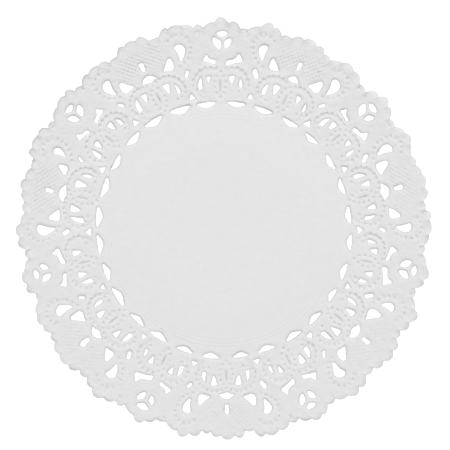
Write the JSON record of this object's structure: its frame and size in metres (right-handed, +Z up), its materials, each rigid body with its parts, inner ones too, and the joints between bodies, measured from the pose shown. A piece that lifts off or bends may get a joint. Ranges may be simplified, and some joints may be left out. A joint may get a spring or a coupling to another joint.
{
  "type": "paper lace doily",
  "caption": "Round flat doily of embossed paper lace with a plain middle, a cut openwork border and a scalloped edge, lying flat.",
  "frame": {"origin": "centre of the pattern on the underside, which lies on the table", "axes": "+Z up out of the table, +Y from the centre through the three-bar round of the first repeat, +X to the right"},
  "size_m": [0.1989, 0.2021, 0.001],
  "materials": {
    "paper": "matte, uncoated, embossed"
  },
  "bodies": {
    "root": {"doily": "paper"}
  },
  "joints": []
}
